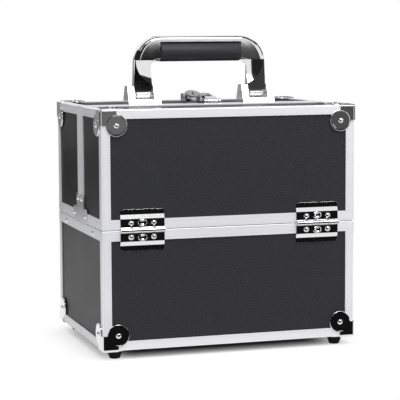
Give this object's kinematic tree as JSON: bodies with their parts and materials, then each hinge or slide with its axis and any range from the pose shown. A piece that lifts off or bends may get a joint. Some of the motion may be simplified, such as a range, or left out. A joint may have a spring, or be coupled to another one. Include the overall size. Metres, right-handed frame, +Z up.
{
  "type": "makeup train case",
  "caption": "Hard makeup train case: box base, clamshell lid halves parting along the top, fold-out trays on arms, metal edge trims, chrome corners and a folding carry handle.",
  "frame": {"origin": "on the floor under the middle of the case", "axes": "+Z up, +X to the right along the length, front face towards -Y"},
  "size_m": [0.2656, 0.1986, 0.3115],
  "materials": {
    "covered_board": "fine diamond emboss",
    "aluminium_trim": "satin anodised",
    "chrome": "polished",
    "steel": "plated",
    "lining": "short nap",
    "tray_plastic": "satin moulded",
    "foot_rubber": "matt",
    "grip_plastic": "satin"
  },
  "bodies": {
    "base": {"base_bottom_panel": "covered_board", "base_front_panel": "covered_board", "base_rear_panel": "covered_board", "base_left_panel": "covered_board", "base_right_panel": "covered_board", "base_bottom_trims": "aluminium_trim", "base_corner_posts": "aluminium_trim", "base_rim_trims": "aluminium_trim", "base_corner_caps": "chrome", "base_rivets": "chrome", "feet": "foot_rubber", "foot_screws": "steel", "base_lining": "lining", "base_hinge_leaves": "chrome", "hinge_pins": "steel", "base_pivot_strips": "steel"},
    "front_lid": {"front_lid_front_panel": "covered_board", "front_lid_top_panel": "covered_board", "front_lid_left_panel": "covered_board", "front_lid_right_panel": "covered_board", "front_lid_edge_trims": "aluminium_trim", "front_lid_rim_trims": "aluminium_trim", "front_lid_seam_trims": "aluminium_trim", "front_lid_corner_caps": "chrome", "front_lid_rivets": "chrome", "front_lid_corner_plates": "chrome", "front_lid_lining": "lining", "front_lid_hinge_leaves": "chrome", "front_lid_pivot_bars": "steel", "hasp_base": "chrome"},
    "rear_lid": {"rear_lid_rear_panel": "covered_board", "rear_lid_top_panel": "covered_board", "rear_lid_left_panel": "covered_board", "rear_lid_right_panel": "covered_board", "rear_lid_edge_trims": "aluminium_trim", "rear_lid_rim_trims": "aluminium_trim", "rear_lid_seam_trims": "aluminium_trim", "rear_lid_corner_caps": "chrome", "rear_lid_rivets": "chrome", "rear_lid_corner_plates": "chrome", "rear_lid_lining": "lining", "rear_lid_hinge_leaves": "chrome", "rear_lid_pivot_bars": "steel", "rear_lid_screws": "steel", "handle_brackets": "chrome", "handle_pins": "steel", "lock_body": "chrome"},
    "front_arms": {"front_arms": "steel"},
    "rear_arms": {"rear_arms": "steel"},
    "front_lower_tray": {"front_lower_tray": "tray_plastic"},
    "front_upper_tray": {"front_upper_tray": "tray_plastic"},
    "rear_lower_tray": {"rear_lower_tray": "tray_plastic"},
    "rear_upper_tray": {"rear_upper_tray": "tray_plastic"},
    "handle": {"handle_frame": "chrome", "handle_grip": "grip_plastic"},
    "lock_hasp": {"lock_hasp": "chrome"},
    "lock_barrel": {"lock_barrel": "chrome"},
    "lock_button": {"lock_button": "chrome"}
  },
  "joints": [
    {"name": "front_lid_hinge", "type": "hinge", "parent": "base", "child": "front_lid", "pos_m": [0, -0.0967, 0.1265], "axis": [1, 0, 0], "range_deg": [0, 90]},
    {"name": "front_arm_hinge", "type": "hinge", "parent": "base", "child": "front_arms", "pos_m": [0, -0.078, 0.1265], "axis": [1, 0, 0], "range_deg": [0, 90]},
    {"name": "front_lower_tray_pivot", "type": "hinge", "parent": "front_arms", "child": "front_lower_tray", "pos_m": [0, -0.05396, 0.15054], "axis": [1, 0, 0], "range_deg": [-90, 0]},
    {"name": "front_upper_tray_pivot", "type": "hinge", "parent": "front_arms", "child": "front_upper_tray", "pos_m": [0, -0.02096, 0.18354], "axis": [1, 0, 0], "range_deg": [-90, 0]},
    {"name": "rear_lid_hinge", "type": "hinge", "parent": "base", "child": "rear_lid", "pos_m": [0, 0.0967, 0.1265], "axis": [-1, 0, 0], "range_deg": [0, 90]},
    {"name": "rear_arm_hinge", "type": "hinge", "parent": "base", "child": "rear_arms", "pos_m": [0, 0.078, 0.1265], "axis": [-1, 0, 0], "range_deg": [0, 90]},
    {"name": "rear_lower_tray_pivot", "type": "hinge", "parent": "rear_arms", "child": "rear_lower_tray", "pos_m": [0, 0.05396, 0.15054], "axis": [-1, 0, 0], "range_deg": [-90, 0]},
    {"name": "rear_upper_tray_pivot", "type": "hinge", "parent": "rear_arms", "child": "rear_upper_tray", "pos_m": [0, 0.02096, 0.18354], "axis": [-1, 0, 0], "range_deg": [-90, 0]},
    {"name": "handle_fold", "type": "hinge", "parent": "rear_lid", "child": "handle", "pos_m": [0, 0.0075, 0.2519], "axis": [1, 0, 0], "range_deg": [-80, 80]},
    {"name": "hasp_press", "type": "hinge", "parent": "front_lid", "child": "lock_hasp", "pos_m": [0.007, -0.014, 0.2455], "axis": [1, 0, 0], "range_deg": [-25, 0], "stiffness_Nm_per_rad": 0.02, "springref_deg": 20.05},
    {"name": "key_turn", "type": "hinge", "parent": "rear_lid", "child": "lock_barrel", "pos_m": [-0.0088, 0.0035, 0.2486], "axis": [0, -0.4424, 0.8968], "range_deg": [0, 90]},
    {"name": "button_slide", "type": "slide", "parent": "rear_lid", "child": "lock_button", "axis": [-1, 0, 0], "range_m": [0, 0.004], "stiffness_N_per_m": 150}
  ],
  "couplings": [
    {"joint": "front_arm_hinge", "follows": "front_lid_hinge", "ratio": 1},
    {"joint": "front_lower_tray_pivot", "follows": "front_lid_hinge", "ratio": -1},
    {"joint": "front_upper_tray_pivot", "follows": "front_lid_hinge", "ratio": -1},
    {"joint": "rear_arm_hinge", "follows": "rear_lid_hinge", "ratio": 1},
    {"joint": "rear_lower_tray_pivot", "follows": "rear_lid_hinge", "ratio": -1},
    {"joint": "rear_upper_tray_pivot", "follows": "rear_lid_hinge", "ratio": -1}
  ]
}
